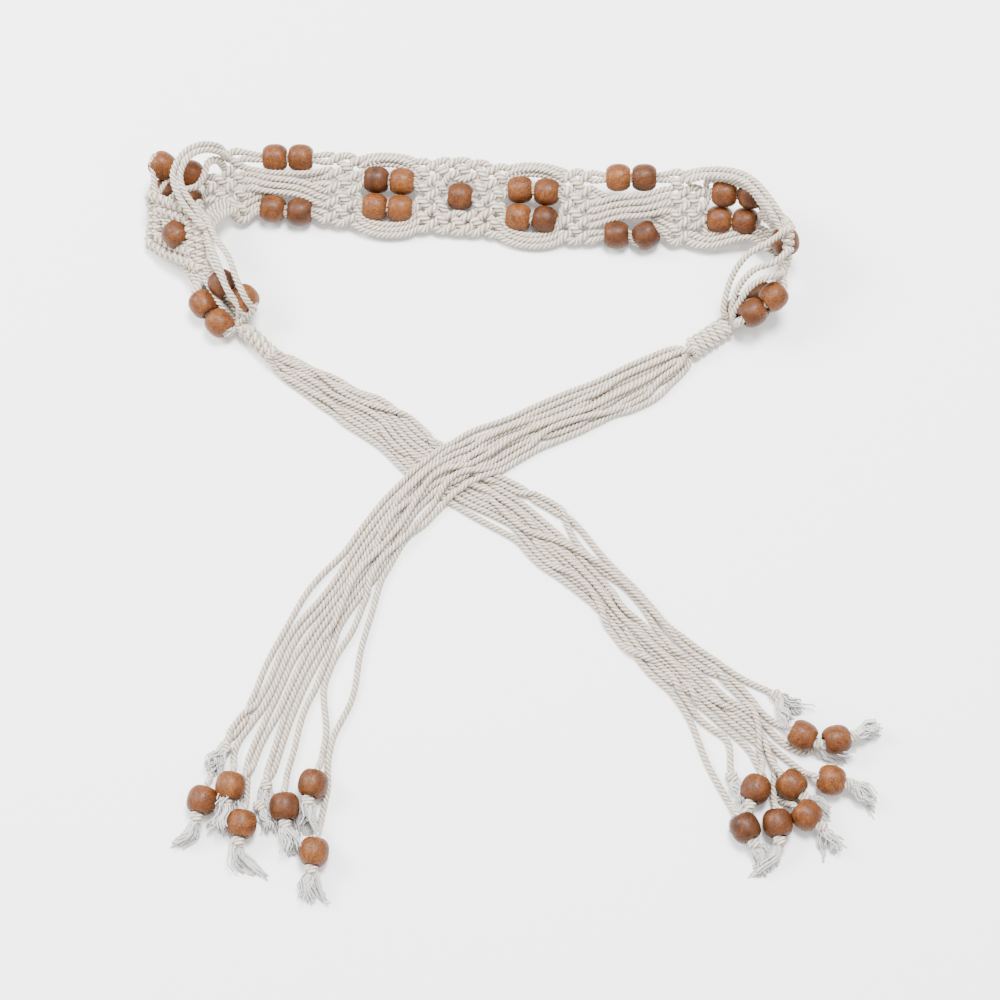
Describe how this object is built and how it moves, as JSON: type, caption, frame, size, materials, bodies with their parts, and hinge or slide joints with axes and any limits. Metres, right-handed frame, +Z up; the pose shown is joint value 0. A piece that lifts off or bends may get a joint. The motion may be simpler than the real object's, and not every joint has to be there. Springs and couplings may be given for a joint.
{
  "type": "macrame belt",
  "caption": "Flat plaited cotton cord belt with barrel beads set in it and loose fringed tails, lying in the open curve it was laid down in.",
  "frame": {"origin": "on the surface that the belt lies on, under the middle of the whole belt", "axes": "+Z up off the surface, +Y from the loose tails towards the band, +X to the right with the tails nearest"},
  "size_m": [0.415, 0.4388, 0.0484],
  "materials": {
    "cotton": "matt",
    "wood": "satin"
  },
  "bodies": {
    "root": {"bead_left_diamond": "wood", "bead_left_edge_lower_1": "wood", "bead_left_edge_lower_2": "wood", "bead_left_edge_upper_1": "wood", "bead_left_edge_upper_2": "wood", "bead_left_end_lower_1": "wood", "bead_left_end_lower_2": "wood", "bead_left_end_upper_1": "wood", "bead_left_end_upper_2": "wood", "bead_left_inner_lower_1": "wood", "bead_left_inner_lower_2": "wood", "bead_left_inner_upper_1": "wood", "bead_left_inner_upper_2": "wood", "bead_left_outer_lower_1": "wood", "bead_left_outer_lower_2": "wood", "bead_left_outer_upper_1": "wood", "bead_left_outer_upper_2": "wood", "bead_left_tail_1": "wood", "bead_left_tail_2": "wood", "bead_left_tail_3": "wood", "bead_left_tail_4": "wood", "bead_left_tail_5": "wood", "bead_left_tail_6": "wood", "bead_left_tail_7": "wood", "bead_left_tail_8": "wood", "bead_middle": "wood", "bead_right_diamond": "wood", "bead_right_edge_lower_1": "wood", "bead_right_edge_lower_2": "wood", "bead_right_edge_upper_1": "wood", "bead_right_edge_upper_2": "wood", "bead_right_end_lower_1": "wood", "bead_right_end_lower_2": "wood", "bead_right_end_upper_1": "wood", "bead_right_end_upper_2": "wood", "bead_right_inner_lower_1": "wood", "bead_right_inner_lower_2": "wood", "bead_right_inner_upper_1": "wood", "bead_right_inner_upper_2": "wood", "bead_right_outer_lower_1": "wood", "bead_right_outer_lower_2": "wood", "bead_right_outer_upper_1": "wood", "bead_right_outer_upper_2": "wood", "bead_right_tail_1": "wood", "bead_right_tail_2": "wood", "bead_right_tail_3": "wood", "bead_right_tail_4": "wood", "bead_right_tail_5": "wood", "bead_right_tail_6": "wood", "plaited_band": "cotton", "tail_left": "cotton", "tail_right": "cotton", "wrap_knot_left": "cotton", "wrap_knot_right": "cotton"}
  },
  "joints": []
}
